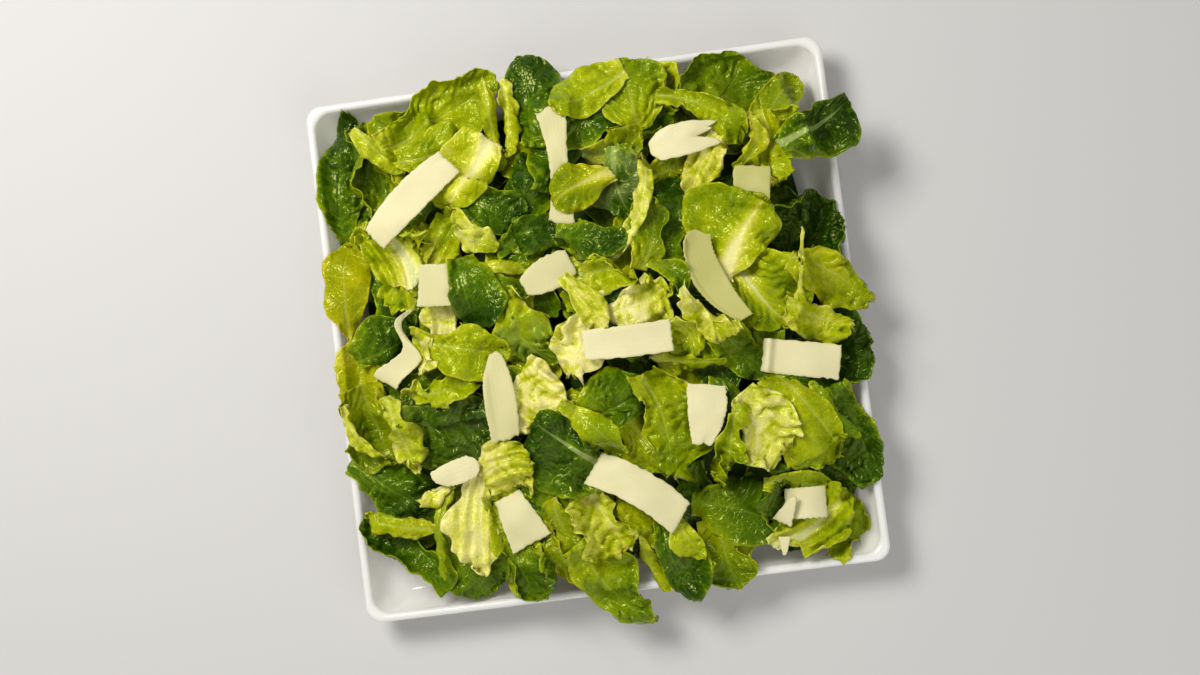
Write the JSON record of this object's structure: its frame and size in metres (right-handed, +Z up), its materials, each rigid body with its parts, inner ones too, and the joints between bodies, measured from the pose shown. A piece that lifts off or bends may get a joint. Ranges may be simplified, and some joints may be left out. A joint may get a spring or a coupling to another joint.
{
  "type": "caesar salad",
  "caption": "Caesar salad: a wide, low heap of loose romaine leaves topped with parmesan shavings, served on its own square white plate with a raised rim.",
  "frame": {"origin": "middle of the plate's flat underside, on the table", "axes": "+Z up; X and Y along the plate's sides, with +Y towards the side that is furthest from the diner"},
  "size_m": [0.3203, 0.3379, 0.0605],
  "materials": {
    "porcelain": "glossy white glaze",
    "leaf": "wet fresh leaf with a soft gloss",
    "cheese": "matt, faintly oily cut cheese"
  },
  "bodies": {
    "root": {"plate": "porcelain", "salad_leaves": "leaf", "parmesan_shaving_01": "cheese", "parmesan_shaving_02": "cheese", "parmesan_shaving_03": "cheese", "parmesan_shaving_04": "cheese", "parmesan_shaving_05": "cheese", "parmesan_shaving_06": "cheese", "parmesan_shaving_07": "cheese", "parmesan_shaving_08": "cheese", "parmesan_shaving_09": "cheese", "parmesan_shaving_10": "cheese", "parmesan_shaving_11": "cheese", "parmesan_shaving_12": "cheese", "parmesan_shaving_13": "cheese", "parmesan_shaving_14": "cheese", "parmesan_shaving_15": "cheese", "parmesan_shaving_16": "cheese"}
  },
  "joints": []
}
